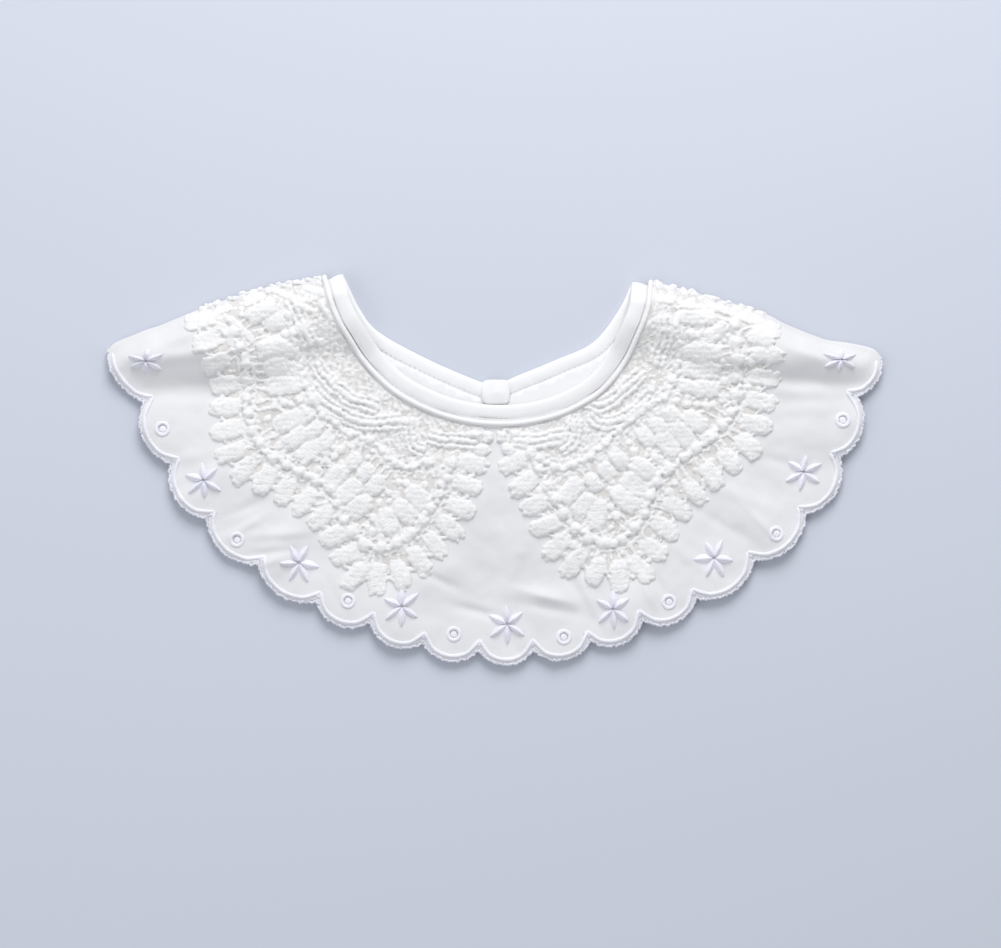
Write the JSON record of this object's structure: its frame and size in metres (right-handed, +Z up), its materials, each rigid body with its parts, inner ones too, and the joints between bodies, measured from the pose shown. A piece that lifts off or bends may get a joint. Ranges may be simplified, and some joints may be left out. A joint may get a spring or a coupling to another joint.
{
  "type": "lace collar",
  "caption": "Child's detachable round collar of white cotton with a scalloped embroidered hem and thick lace on top, laid flat and folded at the shoulders.",
  "frame": {"origin": "middle of the collar's bounding box, on the surface that it lies on", "axes": "+X to the right across the shoulders, +Y from the hem towards the shoulder fold, +Z up off the surface"},
  "size_m": [0.3, 0.1508, 0.0111],
  "materials": {
    "white_cotton": "matt plain weave",
    "band_cotton": "matt, padded and stitched",
    "white_lace": "satin thread"
  },
  "bodies": {
    "root": {"front_panel": "white_cotton", "back_panel_left": "white_cotton", "back_panel_right": "white_cotton", "neck_band_front": "band_cotton", "neck_band_back_left": "band_cotton", "neck_band_back_right": "band_cotton", "piping": "band_cotton", "closure_tab": "band_cotton", "lace_left": "white_lace", "lace_right": "white_lace"}
  },
  "joints": []
}
